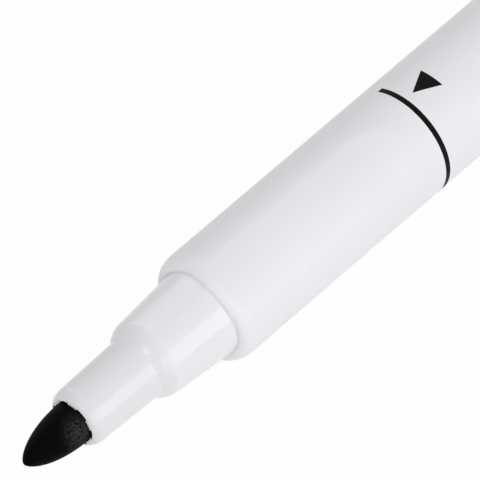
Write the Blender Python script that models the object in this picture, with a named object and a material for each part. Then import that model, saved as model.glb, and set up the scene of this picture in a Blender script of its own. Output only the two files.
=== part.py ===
"""Slim dry-wipe marker with a bullet nib, lying on its side with its cap posted on the tail.

The marker's axis runs along +X, from the nib to the tail. The origin is under the middle of the
marker, on the surface that it lies on. Pieces of the pen body are modelled with x = 0 at the nib's
tip, and the cap with x = 0 at its mouth. Angles round the axis turn from straight up towards -Y.
"""
import math

import bmesh
import bpy
from mathutils import Matrix, Vector

MM = 0.001

# Fits and faceting
CLEARANCE = 0.25 * MM
NIB_CLEARANCE = 0.15 * MM
FILM_CLEARANCE = 0.15 * MM
TURN_STEPS = 48
CORNER_STEPS = 4
SMALL_CORNER_STEPS = 3
MERGE_DISTANCE = 0.001 * MM
SMOOTH_ANGLE = math.radians(30)
CUT_MARGIN = 1.0 * MM

# Nib: a fibre rod ground to a bullet, with a tapered tail that enters the reservoir
NIB_RADIUS = 2.22 * MM
NIB_EXPOSED = 6.69 * MM
NIB_OGIVE_LENGTH = 6.72 * MM
NIB_OGIVE_POWER = 0.674
NIB_OGIVE_STEPS = 12
NIB_ENTRY = 5.6 * MM
NIB_TAIL_LENGTH = 2.5 * MM
NIB_TAIL_RADIUS = 1.5 * MM

# Nose moulding: front sleeve, rounded step, tapered cap seat and spigot
SLEEVE_LENGTH = 9.39 * MM
SLEEVE_WALL = 0.585 * MM
SLEEVE_DRAFT = 0.205 * MM
LIP_WIDTH = 0.56 * MM
LIP_ROUND = 1.6 * MM
SEAT_LENGTH = 8.64 * MM
SEAT_STEP = 0.906 * MM
SEAT_DRAFT = 0.538 * MM
STEP_ROUND = 1.2 * MM
AIR_GROOVES = 6
AIR_GROOVE_ANGLE = math.radians(34)
AIR_GROOVE_DEPTH = 0.16 * MM
AIR_GROOVE_TURN = math.radians(30)
LAND_STEPS = 4
GROOVE_STEPS = 4
NOSE_SPIGOT_LENGTH = 9.2 * MM
NOSE_WALL = 0.9 * MM
NOSE_CAVITY_LENGTH = 5.5 * MM
NOSE_CAVITY_CONE = 2.5 * MM

# Barrel: tube with three grip flats, two counterbores and ribs that hold the reservoir
BARREL_LENGTH = 85.0 * MM
BARREL_WALL = 0.986 * MM
COUNTERBORE_STEP = 0.25 * MM
SHOULDER_LENGTH = 1.5 * MM
BARREL_END_ROUND = 0.3 * MM
BARREL_RIBS = 6
BARREL_RIB_HEIGHT = 0.30 * MM
BARREL_RIB_WIDTH = 0.8 * MM
GRIP_FLATS = 3
GRIP_WIDTH = 6.74 * MM
GRIP_DEPTH = 0.30 * MM
GRIP_FLOOR_LENGTH = 21.46 * MM
GRIP_RUNOUT_RADIUS = 28.0 * MM
GRIP_RUNOUT_STEPS = 6
GRIP_ARC_STEPS = 12
GRIP_TURN = math.radians(28.9)

# Snap beads round the two spigots, which click into grooves in the barrel
BEAD_HEIGHT = 0.20 * MM
BEAD_LENGTH = 1.0 * MM

# Reservoir film
FILM_THICKNESS = 0.12 * MM

# Tail plug: spigot, flange and the post that takes the cap
PLUG_SPIGOT_LENGTH = 5.7 * MM
PLUG_WALL = 0.85 * MM
PLUG_END_WALL = 1.7 * MM
FLANGE_THICKNESS = 1.5 * MM
FLANGE_ROUND = 0.6 * MM

# Cap shell and its clip
CAP_TAPER = 0.25 * MM
CAP_END_ROUND = 1.0 * MM
CAP_END_WALL = 1.6 * MM
CAP_END_CHAMBER = 8.74 * MM
CAP_MOUTH_ROUND = 0.45 * MM
CAP_MOUTH_CHAMFER = 0.3 * MM
CLIP_LENGTH = 30.3 * MM
CLIP_FROM_END = 1.2 * MM
CLIP_HEEL_LENGTH = 2.8 * MM
CLIP_HEEL_ROUND = 1.6 * MM
CLIP_GAP = 1.1 * MM
CLIP_THICKNESS = 1.25 * MM
CLIP_ROOT_WIDTH = 4.8 * MM
CLIP_TIP_WIDTH = 4.0 * MM
CLIP_TIP_ROUND = 0.6 * MM
CLIP_EDGE_ROUND = 0.45 * MM
CLIP_BEAD_LENGTH = 4.2 * MM
CLIP_BEAD_STEPS = 6
CLIP_FOOT_DEPTH = 0.6 * MM
CLIP_FLOOR_GAP = 0.05 * MM

# Seal cup inside the cap
SEAL_HEADROOM = 0.5 * MM
SEAL_FLANGE_THICKNESS = 1.0 * MM
SEAL_WALL = 0.65 * MM
SEAL_LEAD_IN = 0.3 * MM
SEAL_END_WALL = 0.8 * MM
SEAL_END_ROUND = 0.5 * MM
NIB_HEADROOM = 2.0 * MM

# Radii, worked outwards from the nib
SOCKET_RADIUS = NIB_RADIUS + NIB_CLEARANCE
AIR_GROOVE_RADIUS = SOCKET_RADIUS + AIR_GROOVE_DEPTH
SLEEVE_FRONT_RADIUS = AIR_GROOVE_RADIUS + SLEEVE_WALL
SLEEVE_REAR_RADIUS = SLEEVE_FRONT_RADIUS + SLEEVE_DRAFT
SEAT_SMALL_RADIUS = SLEEVE_REAR_RADIUS + SEAT_STEP
SEAT_LARGE_RADIUS = SEAT_SMALL_RADIUS + SEAT_DRAFT
COUNTERBORE_RADIUS = SEAT_LARGE_RADIUS + CLEARANCE
BARREL_RADIUS = COUNTERBORE_RADIUS + BARREL_WALL
BORE_RADIUS = COUNTERBORE_RADIUS - COUNTERBORE_STEP
FILM_RADIUS = BORE_RADIUS - BARREL_RIB_HEIGHT - CLEARANCE
CORE_RADIUS = FILM_RADIUS - FILM_THICKNESS - FILM_CLEARANCE
SEAL_BORE_RADIUS = SLEEVE_REAR_RADIUS + NIB_CLEARANCE
SEAL_RADIUS = SEAL_BORE_RADIUS + SEAL_WALL
CAP_INNER_RADIUS = SEAL_RADIUS + CLEARANCE
CAP_END_RADIUS = BARREL_RADIUS - CAP_TAPER
CLIP_INNER = BARREL_RADIUS + CLIP_GAP
CLIP_OUTER = CLIP_INNER + CLIP_THICKNESS

# Stations along the pen body, from the nib's tip
NOSE_STEP = NIB_EXPOSED + SLEEVE_LENGTH
BARREL_FRONT = NOSE_STEP + SEAT_LENGTH
NOSE_END = BARREL_FRONT + NOSE_SPIGOT_LENGTH
RESERVOIR_FRONT = NOSE_END + CLEARANCE
NIB_END = RESERVOIR_FRONT + NIB_ENTRY
BARREL_END = BARREL_FRONT + BARREL_LENGTH
PLUG_FRONT = BARREL_END - PLUG_SPIGOT_LENGTH
RESERVOIR_END = PLUG_FRONT - CLEARANCE
FLANGE_FRONT = BARREL_END + CLEARANCE
FLANGE_END = FLANGE_FRONT + FLANGE_THICKNESS
POST_END = FLANGE_END + SEAT_LENGTH
CAP_MOUTH = FLANGE_END + CLEARANCE

# Stations along the cap, from its mouth: the seal cup has to clear the nose and nib
SEAL_FRONT = SEAT_LENGTH + SEAL_HEADROOM
CAP_SHOULDER = SEAL_FRONT + SEAL_FLANGE_THICKNESS + CLEARANCE
SEAL_BORE_END = BARREL_FRONT + NIB_HEADROOM
SEAL_END = SEAL_BORE_END + SEAL_END_WALL
CAP_CHAMBER_END = SEAL_END + CAP_END_CHAMBER
CAP_LENGTH = CAP_CHAMBER_END + CAP_END_WALL
CLIP_END = CAP_LENGTH - CLIP_FROM_END
CLIP_HEEL = CLIP_END - CLIP_HEEL_LENGTH
CLIP_START = CLIP_END - CLIP_LENGTH
OVERALL_LENGTH = CAP_MOUTH + CAP_LENGTH


def clear_scene():
    """Remove every object that the scene starts with."""
    for item in list(bpy.data.objects):
        bpy.data.objects.remove(item, do_unlink=True)


def make_material(name, colour, roughness):
    """One Principled BSDF material."""
    material = bpy.data.materials.new(name)
    material.use_nodes = True
    shader = material.node_tree.nodes["Principled BSDF"]
    shader.inputs["Base Color"].default_value = (*colour, 1.0)
    shader.inputs["Roughness"].default_value = roughness
    shader.inputs["Metallic"].default_value = 0.0
    return material


def make_object(name, shape, parent, material=None):
    """Turn a bmesh into a linked object. With no material it is a hidden cutter or addition."""
    bmesh.ops.recalc_face_normals(shape, faces=shape.faces)
    mesh = bpy.data.meshes.new(name)
    shape.to_mesh(mesh)
    shape.free()
    item = bpy.data.objects.new(name, mesh)
    bpy.context.scene.collection.objects.link(item)
    item.parent = parent
    if material is None:
        item.hide_render = True
        item.display_type = "WIRE"
    else:
        mesh.materials.append(material)
        mesh.shade_smooth()
        mesh.set_sharp_from_angle(angle=SMOOTH_ANGLE)
    return item


def make_empty(name, location, parent=None, turn=0.0):
    """An empty on the marker's axis, turned about that axis."""
    item = bpy.data.objects.new(name, None)
    bpy.context.scene.collection.objects.link(item)
    item.parent = parent
    item.location = location
    item.rotation_euler = (turn, 0.0, 0.0)
    return item


def add_boolean(item, other, operation):
    """Cut another object from this one, or join it on."""
    modifier = item.modifiers.new(other.name, "BOOLEAN")
    modifier.operation = operation
    modifier.solver = "EXACT"
    modifier.object = other


def turn_profile(profile, closed):
    """Spin (x, radius) points about the X axis. A closed profile makes a ring."""
    shape = bmesh.new()
    points = [shape.verts.new((x, 0.0, radius)) for x, radius in profile]
    edges = [shape.edges.new(pair) for pair in zip(points, points[1:])]
    if closed:
        edges.append(shape.edges.new((points[-1], points[0])))
    bmesh.ops.spin(shape, geom=points + edges, cent=(0, 0, 0), axis=(1, 0, 0),
                   angle=math.tau, steps=TURN_STEPS, use_duplicate=False)
    bmesh.ops.remove_doubles(shape, verts=shape.verts, dist=MERGE_DISTANCE)
    return shape


def round_corner(face, wall, steps=CORNER_STEPS):
    """Quarter ellipse that leaves a face along it and arrives along a wall, for a rounded edge."""
    points = []
    for step in range(steps + 1):
        angle = 0.5 * math.pi * step / steps
        along = wall[0] + (face[0] - wall[0]) * math.cos(angle)
        out = face[1] + (wall[1] - face[1]) * math.sin(angle)
        points.append((along, out))
    return points


def bead_profile(middle, radius, margin=0.0):
    """A raised ring with sloping flanks, or the groove for it, wider by a margin at each end."""
    half = 0.5 * BEAD_LENGTH + margin
    crown = 0.25 * BEAD_LENGTH + margin
    return [(middle - half, radius), (middle - crown, radius + BEAD_HEIGHT),
            (middle + crown, radius + BEAD_HEIGHT), (middle + half, radius)]


def seat_profile(wide_end, outwards):
    """The tapered cap seat from its wide end to its rounded small end, outwards being -1 or 1 along x.

    The nose and the tail post carry the same seat, so the cap fits both.
    """
    small_end = wide_end + outwards * SEAT_LENGTH
    corner = round_corner((small_end, SLEEVE_REAR_RADIUS),
                          (small_end - outwards * STEP_ROUND, SEAT_SMALL_RADIUS))
    return [(wide_end, SEAT_LARGE_RADIUS)] + corner[::-1]


def loft(shape, loops):
    """Skin between loops of points that all have as many corners, with a face over each end."""
    rings = [[shape.verts.new(point) for point in loop] for loop in loops]
    for near, far in zip(rings, rings[1:]):
        for corner in range(len(near)):
            before = corner - 1
            shape.faces.new((near[before], near[corner], far[corner], far[before]))
    shape.faces.new(rings[0])
    shape.faces.new(rings[-1])


def build_nib(axis):
    """Fibre rod: blunt bullet point, shaft and tapered tail."""
    profile = [(0.0, 0.0)]
    for step in range(1, NIB_OGIVE_STEPS + 1):
        share = (step / NIB_OGIVE_STEPS) ** 2
        bulge = (1.0 - (1.0 - share) ** 2) ** NIB_OGIVE_POWER
        profile.append((NIB_OGIVE_LENGTH * share, NIB_RADIUS * bulge))
    profile += [(NIB_END - NIB_TAIL_LENGTH, NIB_RADIUS), (NIB_END, NIB_TAIL_RADIUS), (NIB_END, 0.0)]
    felt = make_material("ink_felt", (0.012, 0.012, 0.012), 0.75)
    make_object("nib", turn_profile(profile, closed=False), axis, felt)


def build_socket_cutter(axis):
    """Nib socket: a round bore with air grooves along it, which also notch the sleeve's lip."""
    pitch = math.tau / AIR_GROOVES
    land_angle = pitch - AIR_GROOVE_ANGLE
    outline = []
    for groove in range(AIR_GROOVES):
        land_start = AIR_GROOVE_TURN + groove * pitch + 0.5 * AIR_GROOVE_ANGLE
        outline += [(SOCKET_RADIUS, land_start + land_angle * step / LAND_STEPS)
                    for step in range(LAND_STEPS + 1)]
        groove_start = land_start + land_angle
        outline += [(AIR_GROOVE_RADIUS, groove_start + AIR_GROOVE_ANGLE * step / GROOVE_STEPS)
                    for step in range(GROOVE_STEPS + 1)]
    socket_end = NOSE_END - NOSE_CAVITY_LENGTH - 0.5 * NOSE_CAVITY_CONE
    loops = [[(x, -radius * math.sin(angle), radius * math.cos(angle)) for radius, angle in outline]
             for x in (NIB_EXPOSED - CUT_MARGIN, socket_end)]
    shape = bmesh.new()
    loft(shape, loops)
    return make_object("nib_socket_cut", shape, axis)


def build_nose_cavity_cutter(axis):
    """Funnel behind the socket, open at the spigot's end."""
    cavity_radius = SEAT_LARGE_RADIUS - NOSE_WALL
    cone_end = NOSE_END - NOSE_CAVITY_LENGTH
    cone_start = cone_end - NOSE_CAVITY_CONE
    outside = NOSE_END + CUT_MARGIN
    profile = [(cone_start, 0.0), (cone_start, NIB_RADIUS), (cone_end, cavity_radius),
               (outside, cavity_radius), (outside, 0.0)]
    return make_object("nose_cavity_cut", turn_profile(profile, closed=False), axis)


def build_nib_holder(axis):
    """Nose moulding that grips the nib in front and is pushed into the barrel behind."""
    profile = [(NIB_EXPOSED, 0.0)]
    profile += round_corner((NIB_EXPOSED, SLEEVE_FRONT_RADIUS - LIP_WIDTH),
                            (NIB_EXPOSED + LIP_ROUND, SLEEVE_FRONT_RADIUS))
    profile += seat_profile(BARREL_FRONT, outwards=-1)[::-1]
    profile += bead_profile(BARREL_FRONT + 0.5 * NOSE_SPIGOT_LENGTH, SEAT_LARGE_RADIUS)
    profile += [(NOSE_END, SEAT_LARGE_RADIUS), (NOSE_END, 0.0)]
    gloss = make_material("nose_gloss_white", (0.86, 0.86, 0.87), 0.22)
    nose = make_object("nib_holder", turn_profile(profile, closed=False), axis, gloss)
    add_boolean(nose, build_socket_cutter(axis), "DIFFERENCE")
    add_boolean(nose, build_nose_cavity_cutter(axis), "DIFFERENCE")


def build_grip_cutter(axis):
    """Shallow crowned grip flats, open at the shoulder, that run out to the rear on a large radius."""
    half_width = 0.5 * GRIP_WIDTH
    crown = BARREL_RADIUS - GRIP_DEPTH - math.sqrt(BARREL_RADIUS ** 2 - half_width ** 2)
    grip_radius = (half_width ** 2 + crown ** 2) / (2.0 * crown)
    half_sweep = math.asin((half_width + 0.5 * CUT_MARGIN) / grip_radius)
    floor_end = BARREL_FRONT + GRIP_FLOOR_LENGTH
    runout_length = math.sqrt(2.0 * GRIP_RUNOUT_RADIUS * (GRIP_DEPTH + CLEARANCE))
    stations = [BARREL_FRONT - CUT_MARGIN]
    stations += [floor_end + runout_length * step / GRIP_RUNOUT_STEPS
                 for step in range(GRIP_RUNOUT_STEPS + 1)]
    top = BARREL_RADIUS + CUT_MARGIN
    shape = bmesh.new()
    for flat in range(GRIP_FLATS):
        turn = Matrix.Rotation(GRIP_TURN + flat * math.tau / GRIP_FLATS, 4, "X")
        loops = []
        for x in stations:
            rise = max(x - floor_end, 0.0) ** 2 / (2.0 * GRIP_RUNOUT_RADIUS)
            centre = BARREL_RADIUS - GRIP_DEPTH + rise - grip_radius
            points = []
            for step in range(GRIP_ARC_STEPS + 1):
                angle = half_sweep * (2.0 * step / GRIP_ARC_STEPS - 1.0)
                points.append((x, grip_radius * math.sin(angle), centre + grip_radius * math.cos(angle)))
            reach = points[-1][1]
            points += [(x, reach, top), (x, -reach, top)]
            loops.append([turn @ Vector(point) for point in points])
        loft(shape, loops)
    return make_object("grip_flat_cut", shape, axis)


def build_barrel_ribs(axis):
    """Ribs along the bore that centre the reservoir, leave it air and stop the nose's spigot."""
    inner = BORE_RADIUS - BARREL_RIB_HEIGHT
    outer = BORE_RADIUS + 0.5 * COUNTERBORE_STEP
    size = Matrix.Diagonal((RESERVOIR_END - RESERVOIR_FRONT, BARREL_RIB_WIDTH, outer - inner, 1.0))
    place = Matrix.Translation((0.5 * (RESERVOIR_FRONT + RESERVOIR_END), 0.0, 0.5 * (inner + outer)))
    shape = bmesh.new()
    for rib in range(BARREL_RIBS):
        turn = Matrix.Rotation(rib * math.tau / BARREL_RIBS, 4, "X")
        bmesh.ops.create_cube(shape, size=1.0, matrix=turn @ place @ size)
    return make_object("barrel_rib_join", shape, axis)


def build_barrel(axis):
    """Tube with a rounded shoulder, a counterbore at each end, inner ribs and outer grip flats."""
    profile = round_corner((BARREL_FRONT, COUNTERBORE_RADIUS),
                           (BARREL_FRONT + SHOULDER_LENGTH, BARREL_RADIUS))
    profile += round_corner((BARREL_END, BARREL_RADIUS - BARREL_END_ROUND),
                            (BARREL_END - BARREL_END_ROUND, BARREL_RADIUS), SMALL_CORNER_STEPS)[::-1]
    profile += [(BARREL_END, COUNTERBORE_RADIUS)]
    profile += bead_profile(BARREL_END - 0.5 * PLUG_SPIGOT_LENGTH, COUNTERBORE_RADIUS, CLEARANCE)[::-1]
    profile += [(RESERVOIR_END, COUNTERBORE_RADIUS), (RESERVOIR_END, BORE_RADIUS),
                (RESERVOIR_FRONT, BORE_RADIUS), (RESERVOIR_FRONT, COUNTERBORE_RADIUS)]
    profile += bead_profile(BARREL_FRONT + 0.5 * NOSE_SPIGOT_LENGTH, COUNTERBORE_RADIUS, CLEARANCE)[::-1]
    satin = make_material("barrel_satin_white", (0.84, 0.84, 0.855), 0.42)
    barrel = make_object("barrel", turn_profile(profile, closed=True), axis, satin)
    add_boolean(barrel, build_barrel_ribs(axis), "UNION")
    add_boolean(barrel, build_grip_cutter(axis), "DIFFERENCE")


def build_reservoir(axis):
    """Fibre bundle with a blind hole for the nib's tail, and the film that wraps it."""
    hole_radius = NIB_RADIUS + CLEARANCE
    hole_end = NIB_END + CLEARANCE
    core = [(hole_end, 0.0), (hole_end, hole_radius), (RESERVOIR_FRONT, hole_radius),
            (RESERVOIR_FRONT, CORE_RADIUS), (RESERVOIR_END, CORE_RADIUS), (RESERVOIR_END, 0.0)]
    fibre = make_material("ink_fibre", (0.035, 0.035, 0.04), 0.9)
    make_object("reservoir_core", turn_profile(core, closed=False), axis, fibre)
    inner = FILM_RADIUS - FILM_THICKNESS
    film = [(RESERVOIR_FRONT, inner), (RESERVOIR_FRONT, FILM_RADIUS),
            (RESERVOIR_END, FILM_RADIUS), (RESERVOIR_END, inner)]
    wrap = make_material("film_clear", (0.78, 0.80, 0.82), 0.15)
    make_object("reservoir_film", turn_profile(film, closed=True), axis, wrap)


def build_tail_plug(axis):
    """Hollow plug: spigot in the barrel, flange flush with it, and the cap post."""
    cavity_radius = SEAT_LARGE_RADIUS - PLUG_WALL
    cavity_end = POST_END - PLUG_END_WALL
    profile = [(cavity_end, 0.0), (cavity_end, SEAT_SMALL_RADIUS - PLUG_WALL), (FLANGE_END, cavity_radius),
               (PLUG_FRONT, cavity_radius), (PLUG_FRONT, SEAT_LARGE_RADIUS)]
    profile += bead_profile(BARREL_END - 0.5 * PLUG_SPIGOT_LENGTH, SEAT_LARGE_RADIUS)
    profile += [(FLANGE_FRONT, SEAT_LARGE_RADIUS)]
    profile += round_corner((FLANGE_FRONT, BARREL_RADIUS - BARREL_END_ROUND),
                            (FLANGE_FRONT + BARREL_END_ROUND, BARREL_RADIUS), SMALL_CORNER_STEPS)
    profile += round_corner((FLANGE_END, BARREL_RADIUS - FLANGE_ROUND),
                            (FLANGE_END - FLANGE_ROUND, BARREL_RADIUS), SMALL_CORNER_STEPS)[::-1]
    profile += seat_profile(FLANGE_END, outwards=1)
    profile += [(POST_END, 0.0)]
    black = make_material("plug_black", (0.018, 0.018, 0.02), 0.3)
    make_object("tail_plug", turn_profile(profile, closed=False), axis, black)


def clip_section(x, inner, outer):
    """Cross-section of the clip: flat underneath, with rounded edges on its outer face."""
    share = (x - CLIP_START) / CLIP_LENGTH
    half = 0.5 * (CLIP_TIP_WIDTH + (CLIP_ROOT_WIDTH - CLIP_TIP_WIDTH) * share)
    edge = round_corner((half, outer - CLIP_EDGE_ROUND), (half - CLIP_EDGE_ROUND, outer), SMALL_CORNER_STEPS)
    near_side = [(x, y, radius) for y, radius in edge]
    far_side = [(x, -y, radius) for y, radius in edge[::-1]]
    return [(x, half, inner)] + near_side + far_side + [(x, -half, inner)]


def build_clip(axis):
    """Clip arm: a bead that grips the cloth, a straight arm, and a heel at the cap's closed end."""
    bead_start = CLIP_START + CLIP_TIP_ROUND
    bead_depth = CLIP_GAP - CLEARANCE
    foot = CAP_END_RADIUS - CLIP_FOOT_DEPTH
    tip = round_corner((CLIP_START, CLIP_OUTER - CLIP_TIP_ROUND), (bead_start, CLIP_OUTER))
    root = round_corner((CLIP_HEEL, CAP_END_RADIUS), (CLIP_HEEL - CLIP_GAP, CLIP_INNER))
    heel = round_corner((CLIP_END, CLIP_OUTER - CLIP_HEEL_ROUND), (CLIP_END - CLIP_HEEL_ROUND, CLIP_OUTER))
    sections = [clip_section(x, CLIP_INNER, outer) for x, outer in tip]
    for step in range(1, CLIP_BEAD_STEPS + 1):
        share = step / CLIP_BEAD_STEPS
        inner = CLIP_INNER - bead_depth * math.sin(math.pi * share)
        sections.append(clip_section(bead_start + CLIP_BEAD_LENGTH * share, inner, CLIP_OUTER))
    sections += [clip_section(x, inner, CLIP_OUTER) for x, inner in root[::-1]]
    sections += [clip_section(CLIP_HEEL + 0.5 * CLIP_FOOT_DEPTH, foot, CLIP_OUTER)]
    sections += [clip_section(x, foot, outer) for x, outer in heel[::-1]]
    shape = bmesh.new()
    loft(shape, sections)
    return make_object("clip_join", shape, axis)


def build_cap_shell(axis):
    """Cap shell: a bore that fits the seat, a shoulder for the seal cup, a closed end and the clip."""
    profile = [(CAP_CHAMBER_END, 0.0), (CAP_CHAMBER_END, CAP_INNER_RADIUS),
               (CAP_SHOULDER, CAP_INNER_RADIUS), (CAP_SHOULDER, COUNTERBORE_RADIUS),
               (CAP_MOUTH_CHAMFER, COUNTERBORE_RADIUS), (0.0, COUNTERBORE_RADIUS + CAP_MOUTH_CHAMFER)]
    profile += round_corner((0.0, BARREL_RADIUS - CAP_MOUTH_ROUND),
                            (CAP_MOUTH_ROUND, BARREL_RADIUS), SMALL_CORNER_STEPS)
    profile += round_corner((CAP_LENGTH, CAP_END_RADIUS - CAP_END_ROUND),
                            (CAP_LENGTH - CAP_END_ROUND, CAP_END_RADIUS))[::-1]
    profile += [(CAP_LENGTH, 0.0)]
    black = make_material("cap_black", (0.018, 0.018, 0.02), 0.28)
    shell = make_object("cap_shell", turn_profile(profile, closed=False), axis, black)
    add_boolean(shell, build_clip(axis), "UNION")


def build_cap_inner_seal(axis):
    """Seal cup with a lead-in and a flange that sits on the shoulder inside the cap."""
    flange_end = SEAL_FRONT + SEAL_FLANGE_THICKNESS
    profile = [(SEAL_BORE_END, 0.0), (SEAL_BORE_END, SEAL_BORE_RADIUS),
               (SEAL_FRONT + SEAL_LEAD_IN, SEAL_BORE_RADIUS), (SEAL_FRONT, SEAL_BORE_RADIUS + SEAL_LEAD_IN),
               (SEAL_FRONT, SEAT_LARGE_RADIUS), (flange_end, SEAT_LARGE_RADIUS), (flange_end, SEAL_RADIUS)]
    profile += round_corner((SEAL_END, SEAL_RADIUS - SEAL_END_ROUND),
                            (SEAL_END - SEAL_END_ROUND, SEAL_RADIUS), SMALL_CORNER_STEPS)[::-1]
    profile += [(SEAL_END, 0.0)]
    milky = make_material("seal_milky", (0.80, 0.80, 0.77), 0.4)
    make_object("cap_inner_seal", turn_profile(profile, closed=False), axis, milky)


def clip_angle_from_down():
    """Angle of the clip from straight down at which its rounded edge meets the surface below."""
    out = CLIP_OUTER - CLIP_EDGE_ROUND
    side = 0.5 * CLIP_ROOT_WIDTH - CLIP_EDGE_ROUND
    drop = BARREL_RADIUS - CLIP_FLOOR_GAP - CLIP_EDGE_ROUND
    return math.atan2(side, out) + math.acos(drop / math.hypot(out, side))


def clip_reach(angle):
    """How far the clip then stands out sideways from the marker's axis."""
    out = CLIP_OUTER - CLIP_EDGE_ROUND
    side = 0.5 * CLIP_ROOT_WIDTH - CLIP_EDGE_ROUND
    return out * math.sin(angle) + side * abs(math.cos(angle)) + CLIP_EDGE_ROUND


def main():
    """Lay the marker on the surface, with the middle of its box above the origin."""
    clear_scene()
    clip_angle = clip_angle_from_down()
    axis_y = 0.5 * (clip_reach(clip_angle) - BARREL_RADIUS)
    marker_axis = make_empty("marker_axis", (-0.5 * OVERALL_LENGTH, axis_y, BARREL_RADIUS))
    cap_axis = make_empty("cap_axis", (CAP_MOUTH, 0.0, 0.0), marker_axis, math.pi - clip_angle)
    build_nib(marker_axis)
    build_nib_holder(marker_axis)
    build_barrel(marker_axis)
    build_reservoir(marker_axis)
    build_tail_plug(marker_axis)
    build_cap_shell(cap_axis)
    build_cap_inner_seal(cap_axis)


main()
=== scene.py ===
"""Looks of a slim dry-wipe marker: bullet nib, white nose and barrel, and its black cap pushed on the tail.

Lengths are in metres. The marker's axis runs along +X from the nib to the tail, and a turn round it is
measured from straight up towards -Y.
"""
import math

import bmesh
import bpy
import numpy as np
from mathutils import Matrix, Quaternion, Vector


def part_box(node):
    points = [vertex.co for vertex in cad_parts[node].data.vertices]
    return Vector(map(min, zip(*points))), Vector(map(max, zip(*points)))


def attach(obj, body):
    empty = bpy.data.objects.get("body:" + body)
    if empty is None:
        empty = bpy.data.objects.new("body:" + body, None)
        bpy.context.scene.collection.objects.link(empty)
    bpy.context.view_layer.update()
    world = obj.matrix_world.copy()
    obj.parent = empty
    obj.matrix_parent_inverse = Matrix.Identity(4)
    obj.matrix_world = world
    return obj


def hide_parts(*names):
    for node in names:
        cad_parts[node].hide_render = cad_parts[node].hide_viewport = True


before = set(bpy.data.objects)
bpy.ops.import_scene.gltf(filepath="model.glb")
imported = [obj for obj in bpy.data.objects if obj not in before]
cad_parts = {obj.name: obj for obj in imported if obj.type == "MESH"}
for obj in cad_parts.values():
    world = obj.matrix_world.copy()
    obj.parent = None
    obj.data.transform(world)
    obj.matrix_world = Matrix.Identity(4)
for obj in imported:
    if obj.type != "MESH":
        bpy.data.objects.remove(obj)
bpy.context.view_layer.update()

# Barrel: a thin tube, injection-moulded in white plastic with a satin skin. Its front is rounded over to a
# wavy rim, three shallow crowned flats give the fingers a grip, and a hairline shows where two sleeves of
# the mould met.
mm = 0.001
barrel_low, barrel_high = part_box("barrel")
axis_y = 0.5 * (barrel_low.y + barrel_high.y)
axis_z = 0.5 * (barrel_low.z + barrel_high.z)
barrel_radius = 0.5 * (barrel_high.z - barrel_low.z)
barrel_front = barrel_low.x
barrel_rear = barrel_high.x
barrel_columns = 360
shoulder_length = 1.52 * mm
counterbore_radius = 5.014 * mm
bore_radius = 4.764 * mm
mouth_radius = 4.735 * mm
mouth_depth = 0.6 * mm
mouth_cone_depth = 2.0 * mouth_depth
mouth_lead_in = 0.13 * mm
mouth_lead_steps = 3
mouth_rim = 0.23 * mm
mouth_rim_least = 0.35
mouth_wave = 0.42 * mm
rear_edge = 0.3 * mm
grip_flats = 3
grip_turn = math.radians(28.9)
grip_width = 6.74 * mm
grip_depth = 0.30 * mm
grip_floor_end = barrel_front + 21.46 * mm
grip_runout_radius = 28.0 * mm
grip_clear_rise = 1.0 * mm
grip_edge_blend = 0.003 * mm
close_rows_end = grip_floor_end + 6.0 * mm
wide_rows_start = grip_floor_end + 6.5 * mm
sleeve_line = barrel_front + 26.2 * mm
sleeve_line_width = 0.12 * mm
sleeve_line_depth = 0.020 * mm
reservoir_low, reservoir_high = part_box("reservoir_film")
barrel_ribs = 6
rib_height = 0.30 * mm
rib_width = 0.8 * mm
rib_flank = 0.2 * mm
merge_distance = 1e-7
sharp_angle = math.radians(40)
tone_cloud = 7.0 * mm
gloss_cloud = 1.6 * mm
cloud_low = 0.3
cloud_high = 0.7
mould_grain = 0.14 * mm


def quarter_round(face, wall, steps):
    """Rounded edge as rows of (x, r): a quarter ellipse that starts along a face and ends along a wall.

    x = wall_x + (face_x - wall_x) cos t and r = face_r + (wall_r - face_r) sin t, t from 0 to a right angle.
    """
    t = np.linspace(0.0, 0.5 * math.pi, steps + 1)
    x = wall[0] + (face[0] - wall[0]) * np.cos(t)
    r = face[1] + (wall[1] - face[1]) * np.sin(t)
    return np.column_stack([x, r])


def straight(start, end, steps):
    """Rows of (x, r) at equal steps along a line."""
    return np.linspace(start, end, steps + 1)


def soft_least(a, b, blend):
    """Smooth minimum, min(a, b) - k ln(1 + exp(-|a - b| / k)), which rounds the edge where two meet."""
    return np.minimum(a, b) - blend * np.log1p(np.exp(-np.abs(a - b) / blend))


def turns_round(columns):
    """Equal turns round the axis, without the last one that would repeat the first."""
    return np.linspace(0.0, math.tau, columns, endpoint=False)


def from_nearest(turn, first, count):
    """Angle from a turn to the nearest of a number of features spaced evenly round the axis."""
    pitch = math.tau / count
    return (turn - first + 0.5 * pitch) % pitch - 0.5 * pitch


def round_axis(x, r, turn):
    """Points (x, axis_y - r sin turn, axis_z + r cos turn)."""
    x, r, turn = np.broadcast_arrays(x, r, turn)
    return np.stack([x, axis_y - r * np.sin(turn), axis_z + r * np.cos(turn)], axis=-1)


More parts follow.
